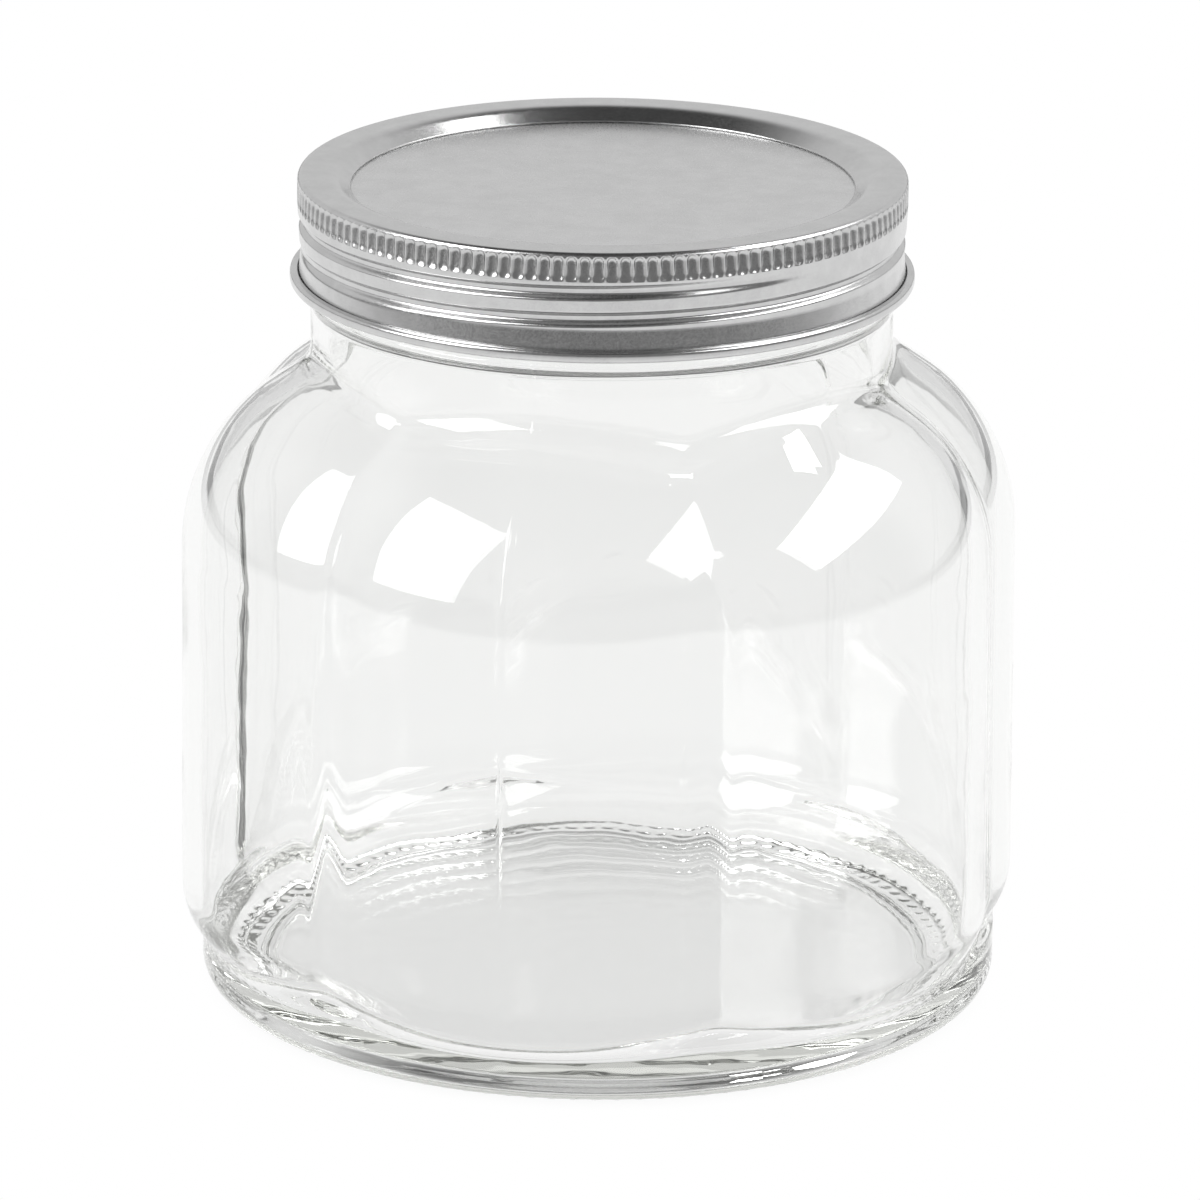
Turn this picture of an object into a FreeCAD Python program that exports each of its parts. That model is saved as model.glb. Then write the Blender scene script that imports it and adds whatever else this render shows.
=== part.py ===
"""Wide-mouth mason jar with a two-piece screw closure, in millimetres.

The jar stands on its foot at z = 0 with its axis on Z.  Six bulging lobes run
round the body, and one lobe faces -Y.  The closure is a screw band, a lid disc
and the ring of sealing compound under the disc.
"""
import FreeCAD, Part
import Sketcher
import math
import os

SIZES = {
    # whole object
    "overall_height": 155.3,
    # lobes of the body: each is a barrel about its own upright axis
    "lobe_count": 6,
    "lobe_axis_offset": 25.0,
    "lobe_radius_low": 54.25,
    "lobe_radius_high": 53.75,
    "lobe_tuck_radius": 49.3,
    "lobe_tuck_height": 10.5,
    "lobe_wall_start": 22.0,
    "tuck_arc_radius": 14.0,
    "shoulder_start": 86.3,
    "shoulder_radius": 35.0,
    "shoulder_sweep": 55.3,
    "lobe_top_radius": 20.0,
    "crease_blend": 7.0,
    "inner_crease_blend": 9.0,
    # foot
    "foot_radius": 74.7,
    "foot_height": 11.5,
    "foot_slope_radius": 70.0,
    "foot_slope_height": 17.0,
    "heel_radius": 4.6,
    "bearing_inner_radius": 64.0,
    "push_up_radius": 60.5,
    "push_up_edge": 2.2,
    "push_up_centre": 3.4,
    # glass thickness
    "wall": 3.6,
    "floor": 6.6,
    "inner_heel_radius": 11.0,
    "inner_top_radius": 24.0,
    # neck and finish
    "neck_radius": 53.9,
    "neck_bore": 50.2,
    "bore_start": 100.0,
    "bead_radius": 54.9,
    "bead_bottom": 132.4,
    "bead_top": 134.6,
    "bead_slope": 0.5,
    "finish_radius": 54.3,
    "rim_rounding": 1.2,
    # screw thread, shared by the glass and the band
    "thread_pitch": 5.08,
    "thread_crest_radius": 55.35,
    "thread_root_width": 2.5,
    "thread_crest_width": 1.1,
    "thread_root_depth": 0.4,
    "glass_thread_turns": 1.25,
    "glass_thread_angle": -150.0,
    "band_groove_turns": 1.4,
    "band_groove_angle": -177.0,
    "groove_height_at_zero": 144.087,
    "groove_depth": 1.15,
    "groove_width": 2.9,
    "groove_tip_width": 0.9,
    "groove_mouth_inset": 0.21,
    "groove_mouth_reach": 0.4,
    "bead_root_depth": 0.1,
    # screw band
    "band_sheet": 0.35,
    "band_radius": 56.25,
    "skirt_radius": 56.0,
    "skirt_top": 141.6,
    "skirt_step": 0.6,
    "band_shoulder": 1.4,
    "flange_inner_radius": 50.9,
    "lip_bend_radius": 4.0,
    "lip_slope": 35.0,
    "lip_edge_radius": 46.4,
    "curl_radius": 1.025,
    "curl_centre_height": 136.33,
    "curl_end_angle": 112.0,
    # lid disc and sealing ring
    "disc_gap": 0.05,
    "disc_sheet": 0.25,
    "disc_radius": 54.9,
    "panel_depth": 2.62,
    "seal_inner_radius": 50.9,
    "seal_outer_radius": 54.2,
    "seal_thickness": 0.8,
    "seal_gap": 0.03,
}

doc = FreeCAD.newDocument("mason_jar")


def make_sheet():
    """The driving dimensions, one alias to a cell."""
    sheet = doc.addObject("Spreadsheet::Sheet", "sizes")
    for row, (alias, value) in enumerate(SIZES.items(), start=1):
        sheet.set("A%d" % row, alias)
        sheet.set("B%d" % row, str(value))
        sheet.setAlias("B%d" % row, alias)
    doc.recompute()
    return sheet


sheet = make_sheet()


def bound(expression):
    """Write an alias as the expressions need it: every word in the sheet gets its prefix."""
    words = []
    for word in expression.split():
        words.append("sizes." + word if word in SIZES else word)
    return " ".join(words)


def number(expression):
    """The value of an expression now, in millimetres."""
    value = sheet.evalExpression(bound(expression))
    return float(getattr(value, "Value", value))


def origin_part(body, role):
    """A body's own origin plane or axis."""
    for feature in body.Origin.OriginFeatures:
        if feature.Role == role:
            return feature
    raise ValueError(role)


def lobe_sketch(body, name):
    """A sketch through the front lobe's own axis, which stands in front of the jar's."""
    sketch = new_sketch(body, name, plane="YZ_Plane")
    sketch.setExpression(".AttachmentOffset.Base.x", bound("0 - lobe_axis_offset"))
    return sketch


def new_body(name):
    body = doc.addObject("PartDesign::Body", name)
    body.Label = name
    body.Placement = FreeCAD.Placement()
    return body


def new_sketch(body, name, plane="XZ_Plane", turn=None):
    """A sketch on one of the body's upright planes, turned about Z when asked."""
    sketch = body.newObject("Sketcher::SketchObject", name)
    sketch.AttachmentSupport = [(origin_part(body, plane), "")]
    sketch.MapMode = "FlatFace"
    if turn:
        rotation = FreeCAD.Rotation(FreeCAD.Vector(0, 1, 0), number(turn))
        sketch.AttachmentOffset = FreeCAD.Placement(FreeCAD.Vector(), rotation)
        sketch.setExpression(".AttachmentOffset.Rotation.Angle", bound(turn))
    return sketch


def arc_between(start, end, radius, side):
    """The arc from start to end; side +1 keeps its centre left of the way along."""
    chord = end - start
    half = chord.Length / 2
    rise = math.sqrt(max(radius ** 2 - half ** 2, 0.0))
    left = FreeCAD.Vector(-chord.y, chord.x, 0).normalize()
    centre = (start + end) * 0.5 + left * rise * side
    circle = Part.Circle(centre, FreeCAD.Vector(0, 0, 1), radius)
    first, last = (start, end) if side > 0 else (end, start)
    return Part.ArcOfCircle(circle, circle.parameter(first), circle.parameter(last))


def draw_outline(sketch, corners, arcs=None):
    """A closed outline through the corners, each a pair of expressions.

    arcs maps the number of a side, the one that leaves that corner, to its
    radius and to the side of its centre.  Every corner is held at its two
    coordinates and every arc at its radius, each bound to the sheet.
    """
    arcs = arcs or {}
    points = []
    for across, up in corners:
        points.append(FreeCAD.Vector(number(across), number(up), 0))
    begins = []
    ends = []
    for side, start in enumerate(points):
        end = points[(side + 1) % len(points)]
        if side in arcs:
            radius, hand = arcs[side]
            geometry = sketch.addGeometry(arc_between(start, end, number(radius), hand), False)
            begins.append((geometry, 1 if hand > 0 else 2))
            ends.append((geometry, 2 if hand > 0 else 1))
        else:
            geometry = sketch.addGeometry(Part.LineSegment(start, end), False)
            begins.append((geometry, 1))
            ends.append((geometry, 2))
    for side in range(len(points)):
        joined = ends[side] + begins[(side + 1) % len(points)]
        sketch.addConstraint(Sketcher.Constraint("Coincident", *joined))
    for side, (across, up) in enumerate(corners):
        geometry, end = begins[side]
        hold(sketch, "DistanceX", geometry, end, across, "across%d" % side)
        hold(sketch, "DistanceY", geometry, end, up, "up%d" % side)
    for side, (radius, _) in arcs.items():
        name = "radius%d" % side
        place = sketch.addConstraint(Sketcher.Constraint("Radius", begins[side][0], number(radius)))
        sketch.renameConstraint(place, name)
        sketch.setExpression("Constraints." + name, bound(radius))


def hold(sketch, kind, geometry, end, expression, name):
    """Hold one coordinate of a corner; a corner on an axis is held to that axis."""
    if expression == "0":
        axis = -2 if kind == "DistanceX" else -1
        sketch.addConstraint(Sketcher.Constraint("PointOnObject", geometry, end, axis))
        return
    words = (kind, -1, 1, geometry, end, number(expression))
    place = sketch.addConstraint(Sketcher.Constraint(*words))
    sketch.renameConstraint(place, name)
    sketch.setExpression("Constraints." + name, bound(expression))


def revolve(body, kind, name, sketch, axis=None):
    """A Revolution or Groove of a whole turn, about the body's Z unless told otherwise."""
    feature = body.newObject("PartDesign::" + kind, name)
    feature.Profile = sketch
    feature.ReferenceAxis = axis or (origin_part(body, "Z_Axis"), [""])
    feature.Angle = 360
    sketch.Visibility = False
    return feature


def repeat_round(body, feature, name):
    """Repeat a lobe feature round the body's Z axis."""
    pattern = body.newObject("PartDesign::PolarPattern", name)
    pattern.Originals = [feature]
    pattern.Axis = (origin_part(body, "Z_Axis"), [""])
    pattern.Angle = 360
    pattern.setExpression("Occurrences", bound("lobe_count"))
    body.Tip = pattern
    return pattern


def helix(body, kind, name, sketch, turns):
    """A thread form swept up the right-hand helix of the closure's thread."""
    feature = body.newObject("PartDesign::" + kind, name)
    feature.Profile = sketch
    feature.ReferenceAxis = (origin_part(body, "Z_Axis"), [""])
    feature.Mode = "pitch-turns-angle"
    feature.setExpression("Pitch", bound("thread_pitch"))
    feature.setExpression("Turns", bound(turns))
    feature.LeftHanded = False
    feature.Reversed = False
    body.Tip = feature
    return feature


def lobe_outline(sketch, radius_cut, floor, wall_start, low_arc, tuck, top):
    """Half section of one lobe's barrel about its own axis.

    radius_cut is taken off every radius, so the inside is parallel to the outside.
    The arc low_arc runs from the radius tuck at the floor to the wall at wall_start.
    """
    low = "lobe_radius_low - %s" % radius_cut
    high = "lobe_radius_high - %s" % radius_cut
    arc = "( shoulder_radius - %s )" % radius_cut
    arc_end = "lobe_radius_high - shoulder_radius + %s * cos( shoulder_sweep )" % arc
    arc_end_height = "shoulder_start + %s * sin( shoulder_sweep )" % arc
    run = "( %s - %s ) / tan( shoulder_sweep )" % (arc_end, top)
    corners = [
        ("0", floor),
        (tuck, floor),
        (low, wall_start),
        (high, "shoulder_start"),
        (arc_end, arc_end_height),
        (top, "%s + %s" % (arc_end_height, run)),
        ("0", "%s + %s" % (arc_end_height, run)),
    ]
    draw_outline(sketch, corners, {1: (low_arc, 1), 3: (arc, 1)})


def make_jar():
    """The glass: lobes, foot and neck in one moulding, hollow, with its thread."""
    body = new_body("glass_jar")

    lobe = lobe_sketch(body, "lobe_section")
    lobe_outline(lobe, "0", "lobe_tuck_height", "lobe_wall_start", "tuck_arc_radius",
                 "lobe_tuck_radius", "lobe_top_radius")
    barrel = revolve(body, "Revolution", "lobe", lobe, (lobe, ["V_Axis"]))
    doc.recompute()
    repeat_round(body, barrel, "lobes")
    doc.recompute()

    core = new_sketch(body, "core_section", plane="YZ_Plane")
    rim = "overall_height - band_sheet - disc_gap - disc_sheet - seal_thickness - seal_gap"
    core_corners = [
        ("0", "push_up_centre"),
        ("push_up_radius", "push_up_edge"),
        ("bearing_inner_radius", "0"),
        ("foot_radius - heel_radius", "0"),
        ("foot_radius", "heel_radius"),
        ("foot_radius", "foot_height"),
        ("foot_slope_radius", "foot_slope_height"),
        ("neck_radius", "lobe_wall_start"),
        ("neck_radius", "bead_bottom"),
        ("bead_radius", "bead_bottom + bead_slope"),
        ("bead_radius", "bead_top - bead_slope"),
        ("finish_radius", "bead_top"),
        ("finish_radius", rim + " - rim_rounding"),
        ("finish_radius - rim_rounding", rim),
        ("0", rim),
    ]
    draw_outline(core, core_corners, {3: ("heel_radius", 1), 12: ("rim_rounding", 1)})
    body.Tip = revolve(body, "Revolution", "foot_and_neck", core)
    doc.recompute()

    hollow = lobe_sketch(body, "hollow_section")
    lobe_outline(hollow, "wall", "floor", "floor + inner_heel_radius", "inner_heel_radius",
                 "lobe_radius_low - wall - inner_heel_radius", "inner_top_radius")
    groove = revolve(body, "Groove", "hollow", hollow, (hollow, ["V_Axis"]))
    doc.recompute()
    repeat_round(body, groove, "hollows")
    doc.recompute()

    bore = new_sketch(body, "bore_section", plane="YZ_Plane")
    over = rim + " + rim_rounding"
    bore_corners = [
        ("0", "bore_start"),
        ("neck_bore", "bore_start"),
        ("neck_bore", rim + " - rim_rounding"),
        ("neck_bore + rim_rounding", rim),
        ("neck_bore + rim_rounding", over),
        ("0", over),
    ]
    draw_outline(bore, bore_corners, {2: ("rim_rounding", -1)})
    body.Tip = revolve(body, "Groove", "neck_bore_cut", bore)
    doc.recompute()

    blend_creases(body, "outer_creases", "crease_blend", True)
    blend_creases(body, "inner_creases", "inner_crease_blend", False)

    thread = new_sketch(body, "thread_section", turn="glass_thread_angle")
    middle = "groove_height_at_zero + thread_pitch * ( glass_thread_angle / 360 + 0.5 )"
    root = "finish_radius - thread_root_depth"
    thread_corners = [
        (root, middle + " - thread_root_width / 2"),
        ("thread_crest_radius", middle + " - thread_crest_width / 2"),
        ("thread_crest_radius", middle + " + thread_crest_width / 2"),
        (root, middle + " + thread_root_width / 2"),
    ]
    draw_outline(thread, thread_corners)
    helix(body, "AdditiveHelix", "thread", thread, "glass_thread_turns")
    doc.recompute()
    return body


def blend_creases(body, name, radius, outside):
    """Round the upright creases between the lobes, outside or inside."""
    base = body.Tip
    chosen = []
    pitch = 360 / number("lobe_count")
    skin = number("lobe_radius_low") - number("wall") / 2
    axis_offset = number("lobe_axis_offset")
    for place, edge in enumerate(base.Shape.Edges, start=1):
        middle = edge.valueAt((edge.FirstParameter + edge.LastParameter) / 2)
        bearing = math.degrees(math.atan2(middle.x, -middle.y)) % pitch
        if abs(bearing - pitch / 2) > 0.01:
            continue
        if not number("lobe_wall_start") < middle.z < number("shoulder_start"):
            continue
        half = math.radians(pitch / 2)
        reach = math.hypot(middle.x, middle.y)
        barrel = math.hypot(reach * math.cos(half) - axis_offset, reach * math.sin(half))
        if (barrel > skin) == outside and abs(barrel - skin) < number("wall"):
            chosen.append("Edge%d" % place)
    fillet = body.newObject("PartDesign::Fillet", name)
    fillet.Base = (base, chosen)
    fillet.setExpression("Radius", bound(radius))
    body.Tip = fillet
    doc.recompute()
    return fillet


def make_band():
    """The screw band: one sheet, with its lip, shoulder, skirt, curl and rolled groove."""
    body = new_body("screw_band")
    section = new_sketch(body, "band_section")
    bend = "flange_inner_radius"
    bend_height = "overall_height - lip_bend_radius"
    inner_bend = "( lip_bend_radius - band_sheet )"
    lip_run = "( flange_inner_radius - lip_bend_radius * sin( lip_slope ) - lip_edge_radius )"
    lip_height = (bend_height + " + lip_bend_radius * cos( lip_slope ) - " + lip_run
                  + " * tan( lip_slope )")
    curl_middle = "skirt_radius - band_sheet + curl_radius"
    curl_inside = "( curl_radius - band_sheet )"
    corners = [
        ("lip_edge_radius", lip_height),
        (bend + " - lip_bend_radius * sin( lip_slope )",
         bend_height + " + lip_bend_radius * cos( lip_slope )"),
        (bend, "overall_height"),
        ("band_radius - band_shoulder", "overall_height"),
        ("band_radius", "overall_height - band_shoulder"),
        ("band_radius", "skirt_top + skirt_step"),
        ("skirt_radius", "skirt_top"),
        ("skirt_radius", "curl_centre_height"),
        (curl_middle, "curl_centre_height - " + curl_inside),
        (curl_middle + " + " + curl_inside, "curl_centre_height"),
        (curl_middle + " + %s * cos( curl_end_angle )" % curl_inside,
         "curl_centre_height + %s * sin( curl_end_angle )" % curl_inside),
        (curl_middle + " + curl_radius * cos( curl_end_angle )",
         "curl_centre_height + curl_radius * sin( curl_end_angle )"),
        (curl_middle + " + curl_radius", "curl_centre_height"),
        (curl_middle, "curl_centre_height - curl_radius"),
        ("skirt_radius - band_sheet", "curl_centre_height"),
        ("skirt_radius - band_sheet", "skirt_top"),
        ("band_radius - band_sheet", "skirt_top + skirt_step"),
        ("band_radius - band_sheet", "overall_height - band_shoulder"),
        ("band_radius - band_shoulder", "overall_height - band_sheet"),
        (bend, "overall_height - band_sheet"),
        (bend + " - %s * sin( lip_slope )" % inner_bend,
         bend_height + " + %s * cos( lip_slope )" % inner_bend),
        ("lip_edge_radius + band_sheet * sin( lip_slope )",
         lip_height + " - band_sheet * cos( lip_slope )"),
    ]
    inner_shoulder = "band_shoulder - band_sheet"
    arcs = {
        1: ("lip_bend_radius", -1),
        3: ("band_shoulder", -1),
        7: (curl_inside, 1),
        8: (curl_inside, 1),
        9: (curl_inside, 1),
        11: ("curl_radius", -1),
        12: ("curl_radius", -1),
        13: ("curl_radius", -1),
        17: (inner_shoulder, 1),
        19: (inner_bend, 1),
    }
    draw_outline(section, corners, arcs)
    body.Tip = revolve(body, "Revolution", "sheet", section)
    doc.recompute()

    middle = "groove_height_at_zero + thread_pitch * band_groove_angle / 360"
    roll_in(body, "AdditiveHelix", "thread_bead", middle, "band_radius - band_sheet",
            "bead_root_depth", "0")
    roll_in(body, "SubtractiveHelix", "thread_groove", middle, "band_radius",
            "groove_mouth_reach", "groove_mouth_inset")
    return body


def roll_in(body, kind, name, middle, face, reach, inset):
    """One side of the rolled thread: the bead inside, or the groove outside.

    The form starts reach outside the sheet's face, where inset narrows each of its
    edges, and ends groove_depth inside that face.
    """
    form = new_sketch(body, name + "_section", turn="band_groove_angle")
    mouth = "%s + %s" % (face, reach)
    tip = "%s - groove_depth" % face
    corners = [
        (mouth, "%s - groove_width / 2 + %s" % (middle, inset)),
        (tip, "%s - groove_tip_width / 2" % middle),
        (tip, "%s + groove_tip_width / 2" % middle),
        (mouth, "%s + groove_width / 2 - %s" % (middle, inset)),
    ]
    draw_outline(form, corners)
    helix(body, kind, name, form, "band_groove_turns")
    doc.recompute()


def make_disc():
    """The lid disc: a raised land round a sunken flat panel."""
    body = new_body("lid_disc")
    section = new_sketch(body, "disc_section")
    top = "overall_height - band_sheet - disc_gap"
    upper_bend = "( lip_bend_radius - band_sheet - disc_gap )"
    lower_bend = "( lip_bend_radius - band_sheet - disc_gap - disc_sheet )"
    bend_height = "overall_height - lip_bend_radius"
    panel = "overall_height - panel_depth"

    def slope_start(bend):
        return ("flange_inner_radius - %s * sin( lip_slope )" % bend,
                bend_height + " + %s * cos( lip_slope )" % bend)

    def slope_end(bend, height):
        across, up = slope_start(bend)
        return ("%s - ( %s - ( %s ) ) / tan( lip_slope )" % (across, up, height), height)

    corners = [
        ("0", panel),
        ("0", panel + " - disc_sheet"),
        slope_end(lower_bend, panel + " - disc_sheet"),
        slope_start(lower_bend),
        ("flange_inner_radius", top + " - disc_sheet"),
        ("disc_radius", top + " - disc_sheet"),
        ("disc_radius", top),
        ("flange_inner_radius", top),
        slope_start(upper_bend),
        slope_end(upper_bend, panel),
    ]
    draw_outline(section, corners, {3: (lower_bend, -1), 7: (upper_bend, 1)})
    body.Tip = revolve(body, "Revolution", "disc", section)
    doc.recompute()
    return body


def make_seal():
    """The ring of sealing compound between the disc's land and the glass rim."""
    body = new_body("sealing_ring")
    section = new_sketch(body, "seal_section")
    top = "overall_height - band_sheet - disc_gap - disc_sheet"
    corners = [
        ("seal_inner_radius", top + " - seal_thickness"),
        ("seal_outer_radius", top + " - seal_thickness"),
        ("seal_outer_radius", top),
        ("seal_inner_radius", top),
    ]
    draw_outline(section, corners)
    body.Tip = revolve(body, "Revolution", "ring", section)
    doc.recompute()
    return body


def write_parts(bodies):
    """Check every object, then write one STEP file a node."""
    for item in doc.Objects:
        if "Invalid" in item.State or "Error" in item.State:
            raise RuntimeError("%s failed: %s" % (item.Name, item.State))
    for body in bodies:
        shape = body.Shape
        if shape.isNull() or not shape.isValid():
            raise RuntimeError("%s has no valid shape" % body.Label)
        print("%s: %d solid, %.0f mm3" % (body.Label, len(shape.Solids), shape.Volume))
    os.makedirs("parts", exist_ok=True)
    for body in bodies:
        body.Shape.exportStep("parts/%s.step" % body.Label)


bodies = [make_jar(), make_band(), make_disc(), make_seal()]
doc.recompute()
write_parts(bodies)
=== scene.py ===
"""Looks of the wide-mouth mason jar: the glass, the screw band, the lid disc and its sealing ring.

Lengths are in millimetres, and a mesh turns them into metres when it is built.
Every skin is a stack of loops round Z.  Bearings are angles about Z from +X, in
radians, so the front lobe, which faces -Y, stands at -90 degrees.
"""
import math

import bpy
import numpy as np
from mathutils import Matrix, Vector


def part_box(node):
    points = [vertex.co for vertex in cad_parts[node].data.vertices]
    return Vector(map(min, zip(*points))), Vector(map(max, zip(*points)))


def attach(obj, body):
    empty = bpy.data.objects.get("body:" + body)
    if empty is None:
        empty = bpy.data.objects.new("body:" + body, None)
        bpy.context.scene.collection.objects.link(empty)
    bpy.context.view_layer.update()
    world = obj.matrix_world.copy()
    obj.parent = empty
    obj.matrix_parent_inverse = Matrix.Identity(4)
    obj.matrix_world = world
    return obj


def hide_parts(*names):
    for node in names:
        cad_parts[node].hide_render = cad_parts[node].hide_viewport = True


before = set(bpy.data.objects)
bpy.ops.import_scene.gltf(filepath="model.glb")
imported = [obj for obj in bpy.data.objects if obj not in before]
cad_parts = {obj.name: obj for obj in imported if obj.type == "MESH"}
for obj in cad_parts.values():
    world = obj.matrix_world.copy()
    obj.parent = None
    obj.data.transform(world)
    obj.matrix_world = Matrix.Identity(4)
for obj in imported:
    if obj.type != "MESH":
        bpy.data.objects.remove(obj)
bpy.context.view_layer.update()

MM = 0.001
TURN = 2 * math.pi
GLASS_ROUND = 336
BAND_ROUND = 292
DISC_ROUND = 288


def node_sizes(node):
    """Reach along X, lowest point and highest point of a CAD node, in millimetres."""
    low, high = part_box(node)
    return high.x / MM, low.z / MM, high.z / MM


# ---------------------------------------------------------------- sizes from the frame
CURL_REACH, BAND_LOW, TOP = node_sizes("screw_band")
DISC_RADIUS, DISC_LOW, DISC_TOP = node_sizes("lid_disc")
SEAL_RADIUS, SEAL_LOW, SEAL_TOP = node_sizes("sealing_ring")
RIM = node_sizes("glass_jar")[2]

# ---------------------------------------------------------------- sizes of the glass
LOBES = 6
LOBE_OFFSET = 25.0
LOBE_LOW = 54.25
LOBE_HIGH = 53.75
WALL_START = 22.0
TUCK_RADIUS = 14.0
TUCK_HEIGHT = 21.2
SHOULDER_START = 86.3
SHOULDER_RADIUS = 35.0
SHOULDER_SWEEP = math.radians(55.3)
WALL = 3.6
FLOOR = 6.2
INNER_HEEL = 11.0
FOOT_RADIUS = 74.7
FOOT_TOP = 11.5
FOOT_SLOPE = ((FOOT_TOP, FOOT_RADIUS), (17.0, 70.0), (22.0, 53.9))
TUCK_END = 24.0
HEEL_RADIUS = 4.6
HEEL_STIPPLED = -math.pi / 5
BEARING_INNER = 64.0
PUSH_UP_RADIUS = 60.5
PUSH_UP_EDGE = 2.2
PUSH_UP_CENTRE = 3.4
STIPPLES = 112
STIPPLE_DEPTH = 0.18
STIPPLE_RINGS = ((66.6, 0.5), (70.7, 0.0))
STIPPLE_END = (71.9, 73.4)
STIPPLE_HALF_ACROSS = 0.26
STIPPLE_HALF_ALONG = 1.35
NECK_RADIUS = 53.9
NECK_BORE = 50.2
NECK_LOW = 126.0
BEAD = ((132.0, 53.9), (132.4, 54.35), (132.9, 54.9), (134.1, 54.9), (134.6, 54.3))
FINISH_RADIUS = 54.3
FINISH_LOW = 135.2
RIM_ROUNDING = 1.2
CREASE_BLEND = 1.0
INNER_CREASE_BLEND = 3.0
BACK_CREASE_BLEND = 0.6
FOOT_BLEND = 1.5
NECK_BLEND = 3.0
INNER_WAVE = 0.022
OUTER_WAVE = 0.025
FLOOR_WAVE_SHARE = 0.2
SEAM_HEIGHT = 0.16
CHILL_MARK = 0.22

# ---------------------------------------------------------------- the screw thread
PITCH = 5.08
GROOVE_AT_ZERO = 144.087
RIDGE_HEIGHT = 1.05
RIDGE_HALF = 1.25
RIDGE_CREST_HALF = 0.5
RIDGE_SPAN = (math.radians(-150), math.radians(300))
RIDGE_FADE = math.radians(18)
RIDGE_OFFSET = 0.5
GROOVE_DEPTH = 1.05
GROOVE_HALF = 1.5
GROOVE_FLOOR_HALF = 0.35
GROOVE_SPAN = (math.radians(-185), math.radians(330))
GROOVE_FADE = math.radians(60)
GROOVE_OFFSET = 0.0

# ---------------------------------------------------------------- sizes of the screw band
SHEET = 0.35
BAND_RADIUS = 56.25
SKIRT_TOP = 141.0
WALL_FOOT = 142.2
SKIRT_TOP_RADIUS = 55.7
SKIRT_LOW_RADIUS = 56.13
BAND_SHOULDER = 1.0
FLANGE_INNER = 50.9
LIP_BEND = 4.0
LIP_SLOPE = math.radians(35)
LIP_EDGE = 46.4
CURL_RADIUS = 1.025
CURL_END = math.radians(112)
CURL_SQUARENESS = 3.5
KNURLS = 146
KNURL_DEPTH = 0.78
KNURL_HALF_WIDTH = 1.04
KNURL_LOW = 150.0
KNURL_HIGH = 154.7
KNURL_BACK_LOW = 55.85
KNURL_BACK_HIGH = 55.3
KNURL_LOW_SHARE = 0.25
KNURL_PLACES = (0.055, 0.13, 0.25, 0.42, 0.58, 0.75, 0.87, 0.945)
UNDER_KNURLS = 0.4
PLAIN_END = KNURL_LOW - 0.2
SKIRT_ABOVE_CURL = 0.3
FLANGE_START_IN = 0.6
INNER_CORNER = 0.25
SHOULDER_BEND_START = math.radians(32)

# ---------------------------------------------------------------- sizes of the disc and the seal
DISC_SHEET = 0.25
SEAL_EDGE = 0.35


# ---------------------------------------------------------------- small helpers
def smooth_step(low, high, value):
    """Rises smoothly from 0, up to low, to 1, from high on."""
    share = np.clip((value - low) / (high - low), 0.0, 1.0)
    return share * share * (3 - 2 * share)


def smooth_max(first, second, blend):
    """The larger of two reaches, with the corner between them rounded."""
    near = np.clip(1 - np.abs(first - second) / blend, 0, None)
    return np.maximum(first, second) + near * near * blend / 4


def steps(start, end, spacing):
    """Evenly spaced values from start to just before end, at most spacing apart."""
    count = max(1, math.ceil(abs(end - start) / spacing))
    return list(np.linspace(start, end, count, endpoint=False))


def arc(middle, radius, start, end, count):
    """Points (across, up) on an arc; angles in radians, both ends included."""
    angles = np.linspace(start, end, count)
    return [(middle[0] + radius * math.cos(a), middle[1] + radius * math.sin(a)) for a in angles]


def squared(points, middle, power):
    """The same curl with its round cross-section pressed towards a square one."""
    pressed = []
    for across, up in points:
        run, rise = across - middle[0], up - middle[1]
        size = math.hypot(run, rise)
        fuller = (abs(run / size) ** power + abs(rise / size) ** power) ** (1 / power)
        pressed.append((middle[0] + run / fuller, middle[1] + rise / fuller))
    return pressed


def even_angles(count):
    """Bearings of a loop's points, evenly spaced all the way round."""
    return np.arange(count) * TURN / count


def loop(angles, reach, height):
    """One closed loop of points round Z; reach and height are numbers or one value an angle."""
    points = np.empty((len(angles), 3))
    points[:, 0] = reach * np.cos(angles)
    points[:, 1] = reach * np.sin(angles)
    points[:, 2] = height
    return points


def add_object(name, data):
    """A new object in the scene, standing at the origin."""
    item = bpy.data.objects.new(name, data)
    bpy.context.scene.collection.objects.link(item)
    return item


# ---------------------------------------------------------------- skins made of loops
def bridge(first, first_count, second, second_count):
    """Faces between neighbouring loops, where one has a whole multiple of the other's points."""
    coarse = min(first_count, second_count)
    times = max(first_count, second_count) // coarse
    faces = []
    for place in range(coarse):
        after = (place + 1) % coarse
        if times == 1:
            faces.append((first + place, first + after, second + after, second + place))
            continue
        fine = [(place * times + part) % (coarse * times) for part in range(times + 1)]
        half = times // 2
        if second_count > first_count:
            faces.append((first + place, first + after, second + fine[half]))
        else:
            faces.append((first + fine[half], second + after, second + place))
        for part in range(times):
            corner = place if part < half else after
            if second_count > first_count:
                faces.append((first + corner, second + fine[part + 1], second + fine[part]))
            else:
                faces.append((first + fine[part], first + fine[part + 1], second + corner))
    return faces


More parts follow.
